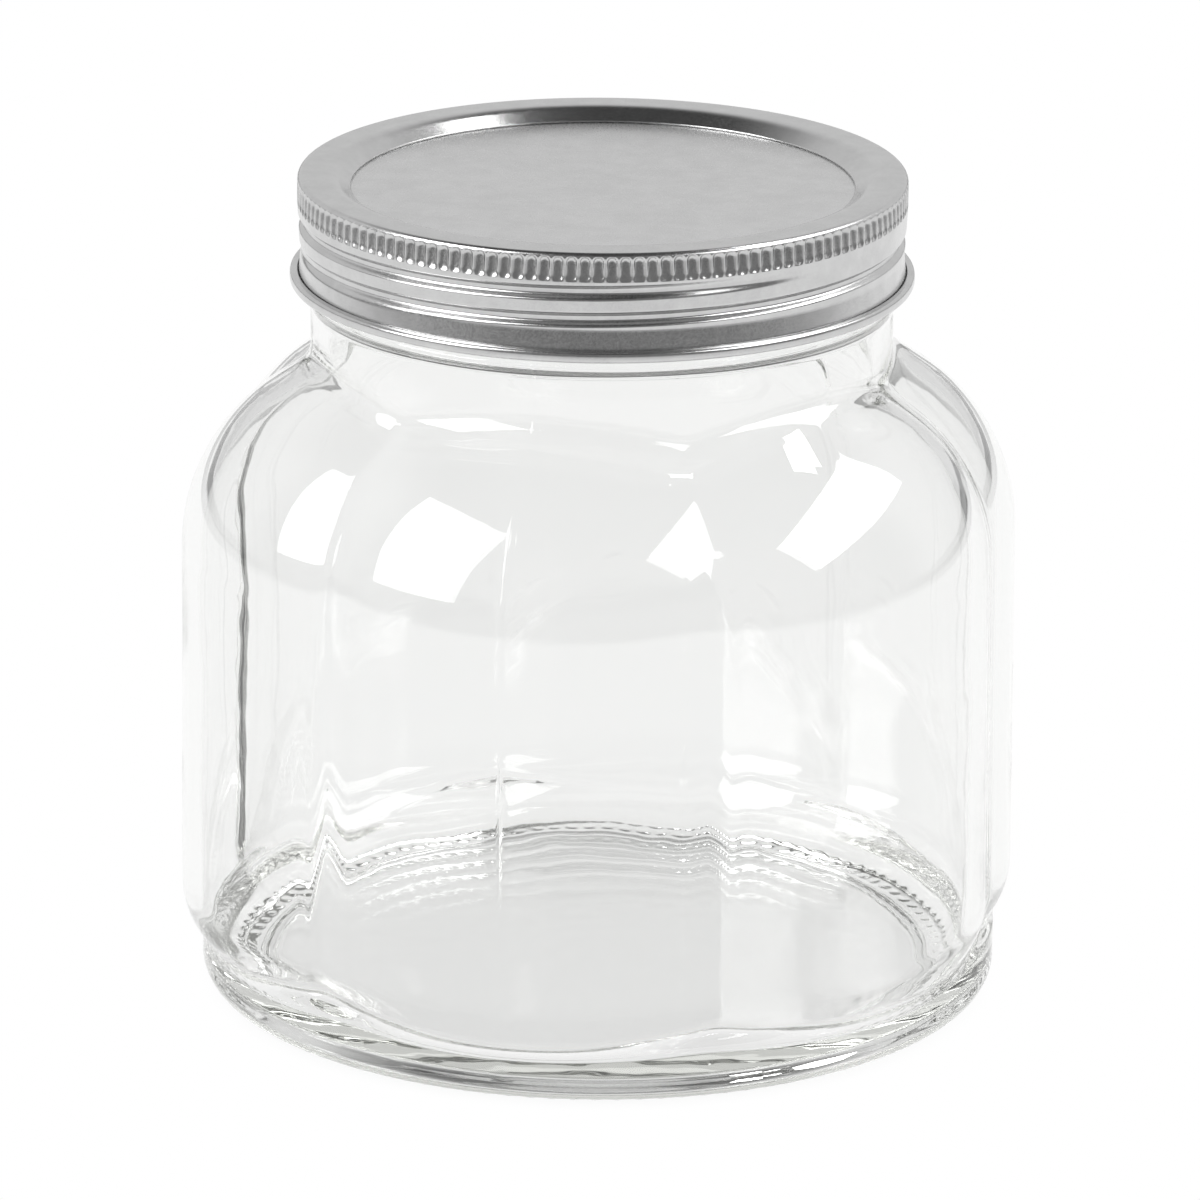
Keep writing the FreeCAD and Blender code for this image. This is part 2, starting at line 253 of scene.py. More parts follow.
def build_skin(name, loops, low_pole=None, high_pole=None, closed=False):
    """A mesh object from a stack of loops, capped by a fan at each pole that is given."""
    starts = np.cumsum([0] + [len(points) for points in loops])
    faces = []
    for place in range(len(loops) - 1):
        faces += bridge(starts[place], len(loops[place]), starts[place + 1], len(loops[place + 1]))
    if closed:
        faces += bridge(starts[-2], len(loops[-1]), 0, len(loops[0]))
    points = np.concatenate(loops)
    for pole, base, count, ahead in ((low_pole, 0, len(loops[0]), 0),
                                     (high_pole, starts[-2], len(loops[-1]), 1)):
        if pole is None:
            continue
        points = np.append(points, [[0.0, 0.0, pole]], axis=0)
        tip = len(points) - 1
        for place in range(count):
            after = (place + 1) % count
            edge = (place, after) if ahead else (after, place)
            faces.append((base + edge[0], base + edge[1], tip))
    mesh = bpy.data.meshes.new(name)
    mesh.from_pydata((points * MM).tolist(), [], [[int(v) for v in face] for face in faces])
    mesh.validate()
    mesh.shade_smooth()
    return add_object(name, mesh)


def helix_distance(angles, height, span, offset):
    """Height above the nearest turn of the thread, and how far that turn is from its ends."""
    best = np.full(len(angles), 1e6)
    room = np.full(len(angles), -1e6)
    for turn in range(-2, 3):
        along = angles + turn * TURN
        middle = GROOVE_AT_ZERO + PITCH * (along / TURN + offset)
        inside = (along > span[0]) & (along < span[1])
        gap = height - middle
        nearer = inside & (np.abs(gap) < np.abs(best))
        best = np.where(nearer, gap, best)
        room = np.where(nearer, np.minimum(along - span[0], span[1] - along), room)
    return best, room


def thread_form(angles, height, span, offset, half, crest_half, fade):
    """The thread's share of its full height, from 0 to 1."""
    gap, room = helix_distance(angles, height, span, offset)
    return (1 - smooth_step(crest_half, half, np.abs(gap))) * smooth_step(0, fade, room)


# ---------------------------------------------------------------- the glass jar
def crowded_angles(count):
    """Loop angles, closer together at the creases between lobes and at the two mould seams."""
    sector = TURN / LOBES
    fine = np.linspace(0, sector, 2001)
    angles = []
    for lobe in range(LOBES):
        from_crease = np.minimum(fine, sector - fine)
        crowd = 1 + 2.5 * np.exp(-(from_crease / math.radians(3)) ** 2)
        if lobe in (1, 4):
            crowd += 12 * np.exp(-((fine - sector / 2) / math.radians(0.4)) ** 2)
        total = np.concatenate([[0], np.cumsum((crowd[1:] + crowd[:-1]) / 2)])
        wanted = np.arange(count // LOBES) / (count // LOBES) * total[-1]
        angles.append(lobe * sector + np.interp(wanted, total, fine))
    return np.concatenate(angles)


def lobed(angles, barrel, blend):
    """Reach of the six lobes, each a barrel of this radius about its own axis."""
    sector = TURN / LOBES
    own = np.abs((angles + TURN / 4 + sector / 2) % sector - sector / 2)
    reach = []
    for bearing in (own, sector - own):
        inside = np.clip(barrel ** 2 - (LOBE_OFFSET * np.sin(bearing)) ** 2, 0, None)
        reach.append(LOBE_OFFSET * np.cos(bearing) + np.sqrt(inside))
    return smooth_max(reach[0], reach[1], blend)


def barrel_radius(height, inset):
    """A lobe's radius about its own axis, inset from its outer skin."""
    if inset == 0 and height < WALL_START:
        rise = min(TUCK_HEIGHT - height, TUCK_RADIUS)
        return LOBE_LOW - TUCK_RADIUS + math.sqrt(TUCK_RADIUS ** 2 - rise ** 2)
    radius = SHOULDER_RADIUS - inset
    arc_end = SHOULDER_START + radius * math.sin(SHOULDER_SWEEP)
    middle = LOBE_HIGH - SHOULDER_RADIUS
    if height > arc_end:
        run = (height - arc_end) * math.tan(SHOULDER_SWEEP)
        return max(0.0, middle + radius * math.cos(SHOULDER_SWEEP) - run)
    if height > SHOULDER_START:
        return middle + math.sqrt(radius ** 2 - (height - SHOULDER_START) ** 2)
    share = (height - WALL_START) / (SHOULDER_START - WALL_START)
    return LOBE_LOW + (LOBE_HIGH - LOBE_LOW) * share - inset


def make_waves(seed, amplitude, count=14):
    """A smooth uneven surface, as moulded glass has: a sum of seeded waves."""
    random = np.random.default_rng(seed)
    waves = []
    for place in range(count):
        around = random.integers(2, 15)
        upward = random.uniform(-1, 1) * TURN / 28
        waves.append((around, upward, random.uniform(0, TURN), amplitude / math.sqrt(count)))
    return waves


def inner_blend(angles):
    """How softly the inner skin rounds each crease: crisper from the sides round to the back."""
    crisper = INNER_CREASE_BLEND - BACK_CREASE_BLEND
    return INNER_CREASE_BLEND - crisper * smooth_step(-0.1, 0.1, np.sin(angles))


def uneven(waves, angles, height):
    """The sum of the waves round one loop, in millimetres."""
    total = np.zeros(len(angles))
    for around, upward, phase, size in waves:
        total += size * np.sin(around * angles + upward * height + phase)
    return total


def seam(angles, height):
    """The mould seam, a low broken ridge up the middle of the front and the back lobe."""
    off = (angles % math.pi) - math.pi / 2
    broken = 0.6 + 0.4 * math.sin(height * 1.9) * math.sin(height * 0.73)
    return SEAM_HEIGHT * broken * np.exp(-(off / math.radians(0.16)) ** 2)


def crease_wobble(angles, height):
    """Small chill marks down three creases, the two at the back and the one at -X."""
    away = (angles + math.pi / 6) % (math.pi / 3) - math.pi / 6
    at_back = smooth_step(0.2, 0.6, np.sin(angles)) + np.exp(-((angles - math.pi) / 0.1) ** 2)
    uneven_height = (math.sin(height * 1.31) + math.sin(height * 0.83 + 1.7)
                     + math.sin(height * 0.47 + 0.6) + math.sin(height * 1.9 + 2.1)) / 4
    faded = smooth_step(26, 34, height) * (1 - smooth_step(96, 106, height))
    narrow = np.exp(-(away / math.radians(0.9)) ** 2)
    return CHILL_MARK * uneven_height * faded * at_back * narrow


def foot_stipple(angles, reach):
    """How far the bearing ring is hollowed between its two rings of bumps."""
    ring = smooth_step(BEARING_INNER, BEARING_INNER + 1, reach)
    ring = ring * (1 - smooth_step(*STIPPLE_END, reach))
    bumps = np.zeros(len(angles))
    for middle, shift in STIPPLE_RINGS:
        across = (angles * STIPPLES / TURN + shift + 0.5) % 1 - 0.5
        size = (across / STIPPLE_HALF_ACROSS) ** 2 + ((reach - middle) / STIPPLE_HALF_ALONG) ** 2
        bumps = np.maximum(bumps, np.sqrt(np.clip(1 - size, 0, None)))
    return STIPPLE_DEPTH * ring * (1 - bumps)


def make_glass():
    """One closed skin: under the foot, up the outside, over the rim and down the inside."""
    crowded = crowded_angles(GLASS_ROUND)
    plain = even_angles(GLASS_ROUND)
    fine = even_angles(GLASS_ROUND * 2)
    inner_waves = make_waves(11, INNER_WAVE)
    outer_waves = make_waves(5, OUTER_WAVE)
    loops = []

    # the push-up under the foot, then the stippled bearing ring and the heel
    for sparser, reach in ((8, 5), (4, 12), (4, 19), (2, 27), (2, 35), (1, 43), (1, 50), (1, 56),
                           (1, 59.5), (1, PUSH_UP_RADIUS)):
        rise = (PUSH_UP_CENTRE - PUSH_UP_EDGE) * (1 - (reach / PUSH_UP_RADIUS) ** 2)
        loops.append(loop(even_angles(GLASS_ROUND // sparser), reach, PUSH_UP_EDGE + rise))
    for reach in steps(61.2, BEARING_INNER, 0.7):
        share = smooth_step(PUSH_UP_RADIUS, BEARING_INNER, reach)
        loops.append(loop(plain, reach, PUSH_UP_EDGE * (1 - share)))
    for reach in steps(BEARING_INNER, FOOT_RADIUS - HEEL_RADIUS, 0.46):
        loops.append(loop(fine, reach, foot_stipple(fine, reach)))
    heel_middle = (FOOT_RADIUS - HEEL_RADIUS, HEEL_RADIUS)
    for reach, height in arc(heel_middle, HEEL_RADIUS, -math.pi / 2, HEEL_STIPPLED, 9):
        loops.append(loop(fine, reach, height + foot_stipple(fine, reach)))
    for reach, height in arc(heel_middle, HEEL_RADIUS, HEEL_STIPPLED + 0.14, 0, 5):
        loops.append(loop(plain, reach, height))

    # up the outside: the foot, the tuck, the lobes, the shoulder and the neck
    heights = (steps(HEEL_RADIUS + 1.2, FOOT_TOP, 1.2) + steps(FOOT_TOP, TUCK_END, 0.9)
               + steps(TUCK_END, SHOULDER_START, 1.8) + steps(SHOULDER_START, NECK_LOW, 1.1)
               + steps(NECK_LOW, BEAD[0][0], 1.5))
    for height in heights:
        share = smooth_step(13, 6, height)
        angles = crowded * (1 - share) + plain * share
        core = np.interp(height, *zip(*FOOT_SLOPE)) if height < WALL_START else NECK_RADIUS
        blend = FOOT_BLEND if height < WALL_START else NECK_BLEND
        reach = smooth_max(lobed(angles, barrel_radius(height, 0), CREASE_BLEND), core, blend)
        fade = smooth_step(FOOT_TOP, WALL_START, height)
        reach = reach + uneven(outer_waves, angles, height) * fade + seam(angles, height)
        reach = reach + crease_wobble(angles, height)
        loops.append(loop(angles, reach, height))
    for height, reach in BEAD:
        loops.append(loop(crowded, reach + seam(crowded, height), height))
    for height in steps(FINISH_LOW, RIM - RIM_ROUNDING, 0.46):
        ridge = thread_form(crowded, height, RIDGE_SPAN, RIDGE_OFFSET, RIDGE_HALF,
                            RIDGE_CREST_HALF, RIDGE_FADE)
        loops.append(loop(crowded, FINISH_RADIUS + RIDGE_HEIGHT * ridge, height))

    # over the sealing rim
    for middle, start, end in ((FINISH_RADIUS - RIM_ROUNDING, 0, math.pi / 2),
                               (NECK_BORE + RIM_ROUNDING, math.pi / 2, math.pi)):
        for reach, height in arc((middle, RIM - RIM_ROUNDING), RIM_ROUNDING, start, end, 5):
            loops.append(loop(crowded, reach, height))

    # down the inside: the bore, the shoulder, the lobes and the inner heel
    inner_arc = FLOOR + INNER_HEEL
    heights = (steps(RIM - 3, NECK_LOW, 2.6) + steps(NECK_LOW, SHOULDER_START, 1.35)
               + steps(SHOULDER_START, inner_arc, 3.3))
    for height in heights:
        lobes = lobed(crowded, barrel_radius(height, WALL), inner_blend(crowded))
        reach = smooth_max(lobes, NECK_BORE, NECK_BLEND) if height > SHOULDER_START else lobes
        growth = (1 - FLOOR_WAVE_SHARE) * smooth_step(18, 45, height)
        fade = (1 - smooth_step(112, 128, height)) * (FLOOR_WAVE_SHARE + growth)
        loops.append(loop(crowded, reach + uneven(inner_waves, crowded, height) * fade, height))
    heel_start = LOBE_LOW - WALL - INNER_HEEL
    for barrel, height in arc((heel_start, inner_arc), INNER_HEEL, 0, -math.pi / 2, 17):
        reach = lobed(crowded, barrel, inner_blend(crowded))
        waves = FLOOR_WAVE_SHARE * uneven(inner_waves, crowded, height)
        loops.append(loop(crowded, reach + waves, height))

    # across the floor, where the lobes' outline fades into a circle
    edge = lobed(crowded, heel_start, inner_blend(crowded))
    round_edge = np.mean(edge)
    for every, share in ((1, 0.92), (1, 0.83), (1, 0.73), (2, 0.62), (2, 0.5), (4, 0.37), (4, 0.24),
                         (8, 0.1)):
        angles = crowded[::every]
        reach = share * (edge[::every] * share + round_edge * (1 - share))
        height = FLOOR + uneven(inner_waves, angles, share * 60) * share * FLOOR_WAVE_SHARE
        loops.append(loop(angles, reach, height))
    return build_skin("jar_glass", loops, low_pole=PUSH_UP_CENTRE, high_pole=FLOOR)


# ---------------------------------------------------------------- the screw band
def knurl_angles():
    """Eight points to a knurl, placed at the rib's edges and down the flute."""
    pitch = TURN / KNURLS
    places = np.array(KNURL_PLACES)
    return (np.arange(KNURLS)[:, None] * pitch + places[None, :] * pitch).ravel()


def knurl_depth(angles, height):
    """Depth of the flutes: upright hollows with rounded ends between narrow ribs."""
    pitch = TURN / KNURLS
    across = ((angles / pitch) % 1 - 0.5) * pitch * BAND_RADIUS
    middle = (KNURL_LOW + KNURL_HIGH) / 2
    straight = (KNURL_HIGH - KNURL_LOW) / 2 - KNURL_HALF_WIDTH
    along = max(abs(height - middle) - straight, 0.0)
    away = np.sqrt(across ** 2 + along ** 2) / KNURL_HALF_WIDTH
    rise = (height - KNURL_LOW) / (KNURL_HIGH - KNURL_LOW)
    slant = KNURL_LOW_SHARE + (1 - KNURL_LOW_SHARE) * rise
    return KNURL_DEPTH * slant * np.clip(1 - away ** 4, 0, None)


def rolled_depth(angles, height):
    """Depth of the thread groove rolled into the sheet from outside."""
    form = thread_form(angles, height, GROOVE_SPAN, GROOVE_OFFSET, GROOVE_HALF,
                       GROOVE_FLOOR_HALF, GROOVE_FADE)
    return GROOVE_DEPTH * form


def plain_wall(height):
    """The wall between the skirt and the knurls, which draws in a little on its way down."""
    drawn_in = UNDER_KNURLS * (KNURL_LOW - height) / (KNURL_LOW - WALL_FOOT)
    wall = BAND_RADIUS - max(drawn_in, 0.0)
    share = smooth_step(SKIRT_TOP, WALL_FOOT, height)
    return SKIRT_TOP_RADIUS + (wall - SKIRT_TOP_RADIUS) * share


def skirt_reach(height, skirt_low):
    """The skirt outside, which flares on its way down to the curl."""
    share = (height - skirt_low) / (SKIRT_TOP - skirt_low)
    return SKIRT_LOW_RADIUS + (SKIRT_TOP_RADIUS - SKIRT_LOW_RADIUS) * share


def make_band():
    """One closed skin: curl, skirt, groove, knurls and flange outside, then back inside."""
    coarse = even_angles(BAND_ROUND)
    fine = knurl_angles()
    loops = []
    curl_middle = (CURL_REACH - CURL_RADIUS, BAND_LOW + CURL_RADIUS)
    curl_inner = CURL_RADIUS - SHEET
    skirt_start = curl_middle[1] + SKIRT_ABOVE_CURL

    # outside, going up
    curl = arc(curl_middle, curl_inner, CURL_END, -math.pi, 25)
    for reach, height in squared(curl, curl_middle, CURL_SQUARENESS):
        loops.append(loop(coarse, reach, height))
    for height in steps(skirt_start, SKIRT_TOP, 0.5):
        reach = skirt_reach(height, curl_middle[1])
        loops.append(loop(coarse, reach - rolled_depth(coarse, height), height))
    for height in steps(SKIRT_TOP, PLAIN_END, 0.17):
        loops.append(loop(coarse, plain_wall(height) - rolled_depth(coarse, height), height))
    half = (KNURL_HIGH - KNURL_LOW) / 2 + 0.03
    for rise in np.sin(np.linspace(-math.pi / 2, math.pi / 2, 19)):
        height = (KNURL_LOW + KNURL_HIGH) / 2 + half * rise
        over = max(height - (TOP - BAND_SHOULDER), 0.0)
        wall = BAND_RADIUS - BAND_SHOULDER + math.sqrt(BAND_SHOULDER ** 2 - over ** 2)
        loops.append(loop(fine, wall - knurl_depth(fine, height), height))
    shoulder = (BAND_RADIUS - BAND_SHOULDER, TOP - BAND_SHOULDER)
    for reach, height in arc(shoulder, BAND_SHOULDER, SHOULDER_BEND_START, math.pi / 2, 8):
        loops.append(loop(coarse, reach, height))
    flange_start = shoulder[0] - FLANGE_START_IN
    for reach in steps(flange_start, FLANGE_INNER, 0.8):
        loops.append(loop(coarse, reach, TOP))
    bend = (FLANGE_INNER, TOP - LIP_BEND)
    for reach, height in arc(bend, LIP_BEND, math.pi / 2, math.pi / 2 + LIP_SLOPE, 9):
        loops.append(loop(coarse, reach, height))
    slope_start = bend[0] - LIP_BEND * math.sin(LIP_SLOPE)
    slope_high = bend[1] + LIP_BEND * math.cos(LIP_SLOPE)
    for share in (0.33, 0.66, 0.94, 1.0):
        run = (slope_start - LIP_EDGE) * share
        loops.append(loop(coarse, slope_start - run, slope_high - run * math.tan(LIP_SLOPE)))

    # inside, going back down
    edge_high = slope_high - (slope_start - LIP_EDGE) * math.tan(LIP_SLOPE)
    edge_low = edge_high - SHEET * math.cos(LIP_SLOPE)
    loops.append(loop(coarse, LIP_EDGE + SHEET * math.sin(LIP_SLOPE), edge_low))
    inner_bend = LIP_BEND - SHEET
    for reach, height in arc(bend, inner_bend, math.pi / 2 + LIP_SLOPE, math.pi / 2, 7):
        loops.append(loop(coarse, reach, height))
    loops.append(loop(coarse, flange_start, TOP - SHEET))
    loops.append(loop(coarse, KNURL_BACK_HIGH - INNER_CORNER, TOP - SHEET - 0.02))
    loops.append(loop(coarse, KNURL_BACK_HIGH, TOP - SHEET - INNER_CORNER))
    for share in np.linspace(0, 1, 7):
        reach = KNURL_BACK_HIGH + (KNURL_BACK_LOW - KNURL_BACK_HIGH) * share
        height = shoulder[1] + (KNURL_LOW - shoulder[1]) * share
        loops.append(loop(coarse, reach, height))
    for height in steps(PLAIN_END, SKIRT_TOP, 0.3):
        inner = plain_wall(height) - SHEET
        loops.append(loop(coarse, inner - rolled_depth(coarse, height), height))
    for height in steps(SKIRT_TOP, skirt_start, 0.8):
        inner = skirt_reach(height, curl_middle[1]) - SHEET
        loops.append(loop(coarse, inner - rolled_depth(coarse, height), height))
    outer = arc(curl_middle, CURL_RADIUS, math.pi, TURN + CURL_END, 37)
    for reach, height in squared(outer, curl_middle, CURL_SQUARENESS):
        loops.append(loop(coarse, reach, height))
    return build_skin("band_sheet", loops, closed=True)


# ---------------------------------------------------------------- the lid disc and its seal
def make_disc():
    """The pressed lid disc: a raised land, a soft step and a sunken, flat panel."""
    angles = even_angles(DISC_ROUND)
    gap = TOP - SHEET - DISC_TOP
    upper_bend = LIP_BEND - SHEET - gap
    lower_bend = upper_bend - DISC_SHEET
    bend = (FLANGE_INNER, TOP - LIP_BEND)
    panel = DISC_LOW + DISC_SHEET
    loops = []

    def slope(radius, target):
        """Where the lip's slope, tangent to a bend of this radius, comes down to a height."""
        start = bend[0] - radius * math.sin(LIP_SLOPE)
        high = bend[1] + radius * math.cos(LIP_SLOPE)
        return start - (high - target) / math.tan(LIP_SLOPE)

    # underneath, going out
    low_edge = slope(lower_bend, panel - DISC_SHEET)
    panel_loops = ((8, 4), (4, 10), (2, 18), (2, 27), (1, 36), (1, 42))
    for sparser, reach in panel_loops:
        loops.append(loop(even_angles(DISC_ROUND // sparser), reach, DISC_LOW))
    loops.append(loop(angles, low_edge - 0.5, DISC_LOW))
    loops.append(loop(angles, low_edge + 0.1, DISC_LOW + 0.12))
    for reach, height in arc(bend, lower_bend, math.pi / 2 + LIP_SLOPE, math.pi / 2, 7):
        loops.append(loop(angles, reach, height))
    loops.append(loop(angles, DISC_RADIUS - 0.12, DISC_TOP - DISC_SHEET))
    loops.append(loop(angles, DISC_RADIUS, DISC_TOP - DISC_SHEET / 2))

    # on top, going in
    loops.append(loop(angles, DISC_RADIUS - 0.12, DISC_TOP))
    for reach, height in arc(bend, upper_bend, math.pi / 2, math.pi / 2 + LIP_SLOPE, 7):
        loops.append(loop(angles, reach, height))
    high_edge = slope(upper_bend, panel)
    for outward, upward in ((0.05, 0.035), (-0.03, 0.005), (-0.15, 0.0)):
        loops.append(loop(angles, high_edge + outward, panel + upward))
    for sparser, reach in reversed(panel_loops):
        loops.append(loop(even_angles(DISC_ROUND // sparser), reach, panel))
    return build_skin("disc_sheet", loops, low_pole=DISC_LOW, high_pole=panel)


def make_seal():
    """The moulded ring of sealing compound, rounded where it was run into the disc."""
    angles = even_angles(DISC_ROUND)
    inner = FLANGE_INNER
    edge = SEAL_EDGE
    loops = []
    for reach, height in arc((SEAL_RADIUS - edge, SEAL_LOW + edge), edge, -math.pi / 2, 0, 5):
        loops.append(loop(angles, reach, height))
    loops.append(loop(angles, SEAL_RADIUS, SEAL_TOP))
    loops.append(loop(angles, inner, SEAL_TOP))
    for reach, height in arc((inner + edge, SEAL_LOW + edge), edge, math.pi, 3 * math.pi / 2, 5):
        loops.append(loop(angles, reach, height))
    return build_skin("seal_ring", loops, closed=True)


# ---------------------------------------------------------------- materials
def new_material(name):
    """A material with nodes, its nodes and its links."""
    material = bpy.data.materials.new(name)
    material.use_nodes = True
    return material, material.node_tree.nodes, material.node_tree.links


def noise(nodes, links, feature, detail=2.0, roughness=0.5, stretch=(1, 1, 1)):
    """Noise on the object's own coordinates with features of this size, in millimetres."""
    place = nodes.new("ShaderNodeTexCoord")
    mapping = nodes.new("ShaderNodeMapping")
    mapping.inputs["Scale"].default_value = stretch
    texture = nodes.new("ShaderNodeTexNoise")
    texture.inputs["Scale"].default_value = 1 / (feature * MM)
    texture.inputs["Detail"].default_value = detail
    texture.inputs["Roughness"].default_value = roughness
    links.new(place.outputs["Object"], mapping.inputs["Vector"])
    links.new(mapping.outputs["Vector"], texture.inputs["Vector"])
    return texture.outputs["Fac"]


def ramp(nodes, links, value, low, high, stops=(0.35, 0.65)):
    """A grey ramp between two values of a noise."""
    node = nodes.new("ShaderNodeValToRGB")
    for element, stop, level in zip(node.color_ramp.elements, stops, (low, high)):
        element.position = stop
        element.color = (level, level, level, 1)
    links.new(value, node.inputs["Fac"])
    return node.outputs["Color"]


def bump(nodes, links, height, strength, distance, under=None):
    """A bumped normal; the distance is in millimetres, and under is a coarser or finer one."""
    node = nodes.new("ShaderNodeBump")
    node.inputs["Strength"].default_value = strength
    node.inputs["Distance"].default_value = distance * MM
    links.new(height, node.inputs["Height"])
    if under is not None:
        links.new(under, node.inputs["Normal"])
    return node.outputs["Normal"]


def smooth_range(nodes, links, value, start, end, low, high):
    """A value that goes smoothly from low to high as another goes from start to end."""
    node = nodes.new("ShaderNodeMapRange")
    node.interpolation_type = "SMOOTHSTEP"
    for name, setting in (("From Min", start), ("From Max", end), ("To Min", low),
                          ("To Max", high)):
        node.inputs[name].default_value = setting
    links.new(value, node.inputs["Value"])
    return node.outputs["Result"]


def glass_material():
    """Clear glass with a faint grey-green tint in its depth and a slow ripple on its skin."""
    material, nodes, links = new_material("flint_glass")
    shader = nodes["Principled BSDF"]
    shader.inputs["Base Color"].default_value = (0.955, 0.957, 0.953, 1)
    shader.inputs["Roughness"].default_value = 0.0
    shader.inputs["IOR"].default_value = 1.51
    shader.inputs["Transmission Weight"].default_value = 1.0
    ripple = noise(nodes, links, feature=9, detail=1.0)
    normal = bump(nodes, links, ripple, strength=0.25, distance=0.12)
    links.new(normal, shader.inputs["Normal"])
    depth = nodes.new("ShaderNodeVolumeAbsorption")
    depth.inputs["Color"].default_value = (0.895, 0.90, 0.882, 1)
    depth.inputs["Density"].default_value = 16.0
    links.new(depth.outputs["Volume"], nodes["Material Output"].inputs["Volume"])
    return material


def tinplate_material(name, tone, low_rough, high_rough, grain):
    """Bright tinplate: fine rolled grain, a cloudy finish and small dull specks."""
    material, nodes, links = new_material(name)
    shader = nodes["Principled BSDF"]
    shader.inputs["Metallic"].default_value = 1.0
    cloud = noise(nodes, links, feature=5, detail=4.0, roughness=0.6)
    links.new(ramp(nodes, links, cloud, tone * 0.95, tone * 1.03), shader.inputs["Base Color"])
    speck = noise(nodes, links, feature=0.35, detail=2.0, roughness=0.6)
    links.new(ramp(nodes, links, speck, low_rough, high_rough), shader.inputs["Roughness"])
    rolled = noise(nodes, links, feature=0.28, detail=3.0, roughness=0.65)
    fine = bump(nodes, links, rolled, strength=grain, distance=0.012)
    buckle = noise(nodes, links, feature=3.5, detail=1.0)
    normal = bump(nodes, links, buckle, strength=0.2, distance=0.02, under=fine)
    links.new(normal, shader.inputs["Normal"])
    return material


def seal_material():
    """Off-white sealing compound, cloudy and slightly pitted."""
    material, nodes, links = new_material("sealing_compound")
    shader = nodes["Principled BSDF"]
    tint = nodes.new("ShaderNodeValToRGB")
    tint.color_ramp.elements[0].color = (0.55, 0.53, 0.47, 1)
    tint.color_ramp.elements[1].color = (0.66, 0.64, 0.58, 1)
    links.new(noise(nodes, links, feature=2.5, detail=3.0), tint.inputs["Fac"])
    links.new(tint.outputs["Color"], shader.inputs["Base Color"])
    shader.inputs["Roughness"].default_value = 0.55
    pitted = noise(nodes, links, feature=0.5, detail=2.0)
    normal = bump(nodes, links, pitted, strength=0.3, distance=0.03)
    links.new(normal, shader.inputs["Normal"])
    return material


# ---------------------------------------------------------------- studio
CAMERA_BEARING = math.radians(13)
CAMERA_AWAY = 1500.0
CAMERA_HEIGHT = 554.5
AIM_HEIGHT = 72.7
CAMERA_ROLL = math.radians(0.4)
LENS = 252.75
LIGHT_AWAY = 2.6
LIGHT_AIM = 0.08
FLOOR_DROP = 0.0004
FLOOR_ROUND = 96
FLOOR_RINGS = (0.3, 1.0, 6.0)
# A painted pool of light on the floor: full glow out to a reach from a point this far behind the
# jar, then dimming to a low level further away, in metres.
PAINTED_POOL_BEHIND = 0.4
PAINTED_POOL_BRIGHT_TO = 0.92
PAINTED_POOL_DIM_FROM = 1.25
PAINTED_POOL_DIM_LEVEL = 0.15
# A painted contact shadow: under the jar the floor's glow is dimmed to the level below, and it
# rises back to full between these two reaches, in metres.
PAINTED_SHADOW_REACH = (0.06, 0.076)
PAINTED_SHADOW_LEVEL = 0.86
NEAR_LEVEL = 0.15
BACKDROP_LEVEL = 0.69
BACKDROP_SIDES = (-0.1, 0.35)
BACKDROP_FADE = (math.radians(32), math.radians(64))
ALL_ROUND_LEVEL = 0.05


def make_camera():
    """The camera at the photograph's viewing angle."""
    data = bpy.data.cameras.new("camera")
    data.sensor_width = 36
    data.lens = LENS
    camera = add_object("camera", data)
    across = math.sin(CAMERA_BEARING) * CAMERA_AWAY
    place = Vector((across, -math.cos(CAMERA_BEARING) * CAMERA_AWAY, CAMERA_HEIGHT))
    ahead = Vector((0, 0, AIM_HEIGHT)) - place
    turn = ahead.to_track_quat("-Z", "Y").to_matrix() @ Matrix.Rotation(CAMERA_ROLL, 3, "Z")
    camera.matrix_world = Matrix.Translation(place * MM) @ turn.to_4x4()
    data.clip_start = 0.05
    data.clip_end = 100
    bpy.context.scene.camera = camera


def make_softbox(name, bearing, elevation, roll, width, height, watts):
    """A softbox aimed at the jar; its bearing is from the camera's, positive to the right."""
    data = bpy.data.lights.new(name, "AREA")
    data.shape = "RECTANGLE"
    data.size = width
    data.size_y = height
    data.energy = watts
    light = add_object(name, data)
    turn = CAMERA_BEARING + math.radians(bearing)
    rise = math.radians(elevation)
    level = LIGHT_AWAY * math.cos(rise)
    above = LIGHT_AWAY * math.sin(rise) + LIGHT_AIM
    place = Vector((math.sin(turn) * level, -math.cos(turn) * level, above))
    light.location = place
    facing = (Vector((0, 0, LIGHT_AIM)) - place).to_track_quat("-Z", "Y").to_matrix()
    light.rotation_euler = (facing @ Matrix.Rotation(math.radians(roll), 3, "Z")).to_euler()


def floor_mesh():
    """A flat round mesh of three rings, in metres."""
    count = FLOOR_ROUND
    points = [(0, 0, 0)]
    for reach in FLOOR_RINGS:
        points += [(reach * math.cos(a), reach * math.sin(a), 0) for a in even_angles(count)]
    faces = [(0, 1 + place, 1 + (place + 1) % count) for place in range(count)]
    for ring in range(len(FLOOR_RINGS) - 1):
        ring_faces = bridge(1 + ring * count, count, 1 + (ring + 1) * count, count)
        faces += [tuple(reversed(face)) for face in ring_faces]
    mesh = bpy.data.meshes.new("floor")
    mesh.from_pydata(points, [], [tuple(int(v) for v in face) for face in faces])
    return mesh


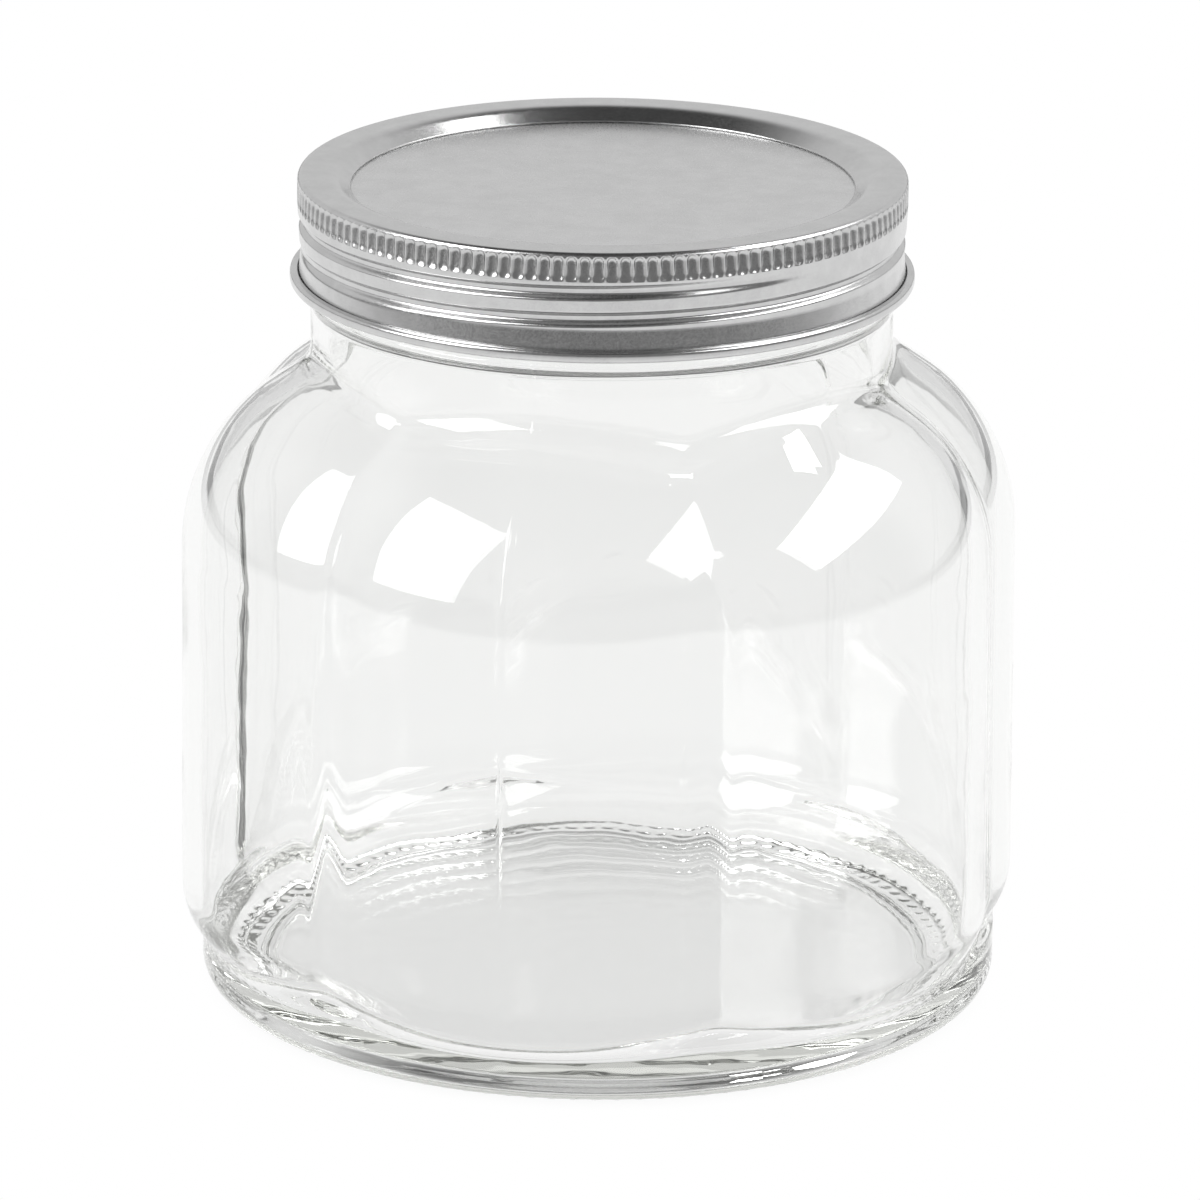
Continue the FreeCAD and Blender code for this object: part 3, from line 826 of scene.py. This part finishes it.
def floor_material():
    """An even pale glow, with a painted shadow under the jar and a painted pool of light that dims
    far away.
    """
    material, nodes, links = new_material("pale_floor_with_painted_light")
    nodes.remove(nodes["Principled BSDF"])
    glow = nodes.new("ShaderNodeEmission")

    def by_distance(middle, start, end, near, far):
        """A level that changes with the distance from a point on the floor, in metres."""
        away = nodes.new("ShaderNodeVectorMath")
        away.operation = "DISTANCE"
        away.inputs[1].default_value = middle
        links.new(place.outputs["Object"], away.inputs[0])
        return smooth_range(nodes, links, away.outputs["Value"], start, end, near, far)

    place = nodes.new("ShaderNodeTexCoord")
    behind = (-PAINTED_POOL_BEHIND * math.sin(CAMERA_BEARING),
              PAINTED_POOL_BEHIND * math.cos(CAMERA_BEARING), 0)
    # painted pool of light: full glow round the jar, dim far away
    around = by_distance(behind, PAINTED_POOL_BRIGHT_TO, PAINTED_POOL_DIM_FROM, 1.0, PAINTED_POOL_DIM_LEVEL)
    # painted contact shadow: a darker glow under the jar
    painted_shadow = by_distance((0, 0, 0), *PAINTED_SHADOW_REACH, PAINTED_SHADOW_LEVEL, 1.0)
    level = nodes.new("ShaderNodeMath")
    level.operation = "MULTIPLY"
    links.new(around, level.inputs[0])
    links.new(painted_shadow, level.inputs[1])
    links.new(level.outputs[0], glow.inputs["Strength"])
    links.new(glow.outputs["Emission"], nodes["Material Output"].inputs["Surface"])
    return material


def make_floor():
    """The pale floor that the jar stands on."""
    mesh = floor_mesh()
    mesh.materials.append(floor_material())
    floor = add_object("floor", mesh)
    floor.location.z = -FLOOR_DROP


def make_world():
    """A studio round the jar: a pale backdrop low behind it, dark above and on the near side."""
    world = bpy.data.worlds.new("studio")
    bpy.context.scene.world = world
    world.use_nodes = True
    nodes, links = world.node_tree.nodes, world.node_tree.links
    place = nodes.new("ShaderNodeTexCoord")
    parts = nodes.new("ShaderNodeSeparateXYZ")
    links.new(place.outputs["Generated"], parts.inputs[0])

    def combine(operation, first, second):
        """A Math node's result from two values, each a number or another node's output."""
        node = nodes.new("ShaderNodeMath")
        node.operation = operation
        for socket, value in zip(node.inputs, (first, second)):
            if isinstance(value, float):
                socket.default_value = value
            else:
                links.new(value, socket)
        return node.outputs[0]

    behind = combine("ADD", combine("MULTIPLY", parts.outputs["X"], -math.sin(CAMERA_BEARING)),
                     combine("MULTIPLY", parts.outputs["Y"], math.cos(CAMERA_BEARING)))
    backdrop = smooth_range(nodes, links, behind, *BACKDROP_SIDES, NEAR_LEVEL, BACKDROP_LEVEL)
    fade = [math.sin(rise) for rise in BACKDROP_FADE]
    low = smooth_range(nodes, links, parts.outputs["Z"], *fade, 1.0, 0.0)
    level = combine("ADD", combine("MULTIPLY", backdrop, low), ALL_ROUND_LEVEL)
    nodes["Background"].inputs["Color"].default_value = (1, 1, 1, 1)
    links.new(level, nodes["Background"].inputs["Strength"])


# ---------------------------------------------------------------- put it together
glass = make_glass()
glass.data.materials.append(glass_material())
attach(glass, "jar")
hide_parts("glass_jar")

band = make_band()
band.data.materials.append(tinplate_material("band_tinplate", tone=0.62, low_rough=0.19,
                                             high_rough=0.27, grain=0.2))
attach(band, "band")
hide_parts("screw_band")

disc = make_disc()
disc.data.materials.append(tinplate_material("disc_tinplate", tone=0.7, low_rough=0.26,
                                             high_rough=0.34, grain=0.12))
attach(disc, "lid")
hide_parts("lid_disc")

seal = make_seal()
seal.data.materials.append(seal_material())
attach(seal, "lid")
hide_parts("sealing_ring")

make_camera()
make_softbox("left_softbox", bearing=-66, elevation=32, roll=3, width=1.8, height=2.25, watts=60)
make_softbox("right_softbox", bearing=80, elevation=42, roll=11, width=3.1, height=1.1, watts=50)
make_softbox("high_softbox", bearing=124, elevation=61, roll=0, width=0.5, height=0.3, watts=5)
make_floor()
make_world()
bpy.context.scene.view_settings.view_transform = "Standard"

# light crosses and reflects inside the thick glass base many times
light_paths = bpy.context.scene.cycles
light_paths.max_bounces = 40
light_paths.glossy_bounces = 40
light_paths.transmission_bounces = 40
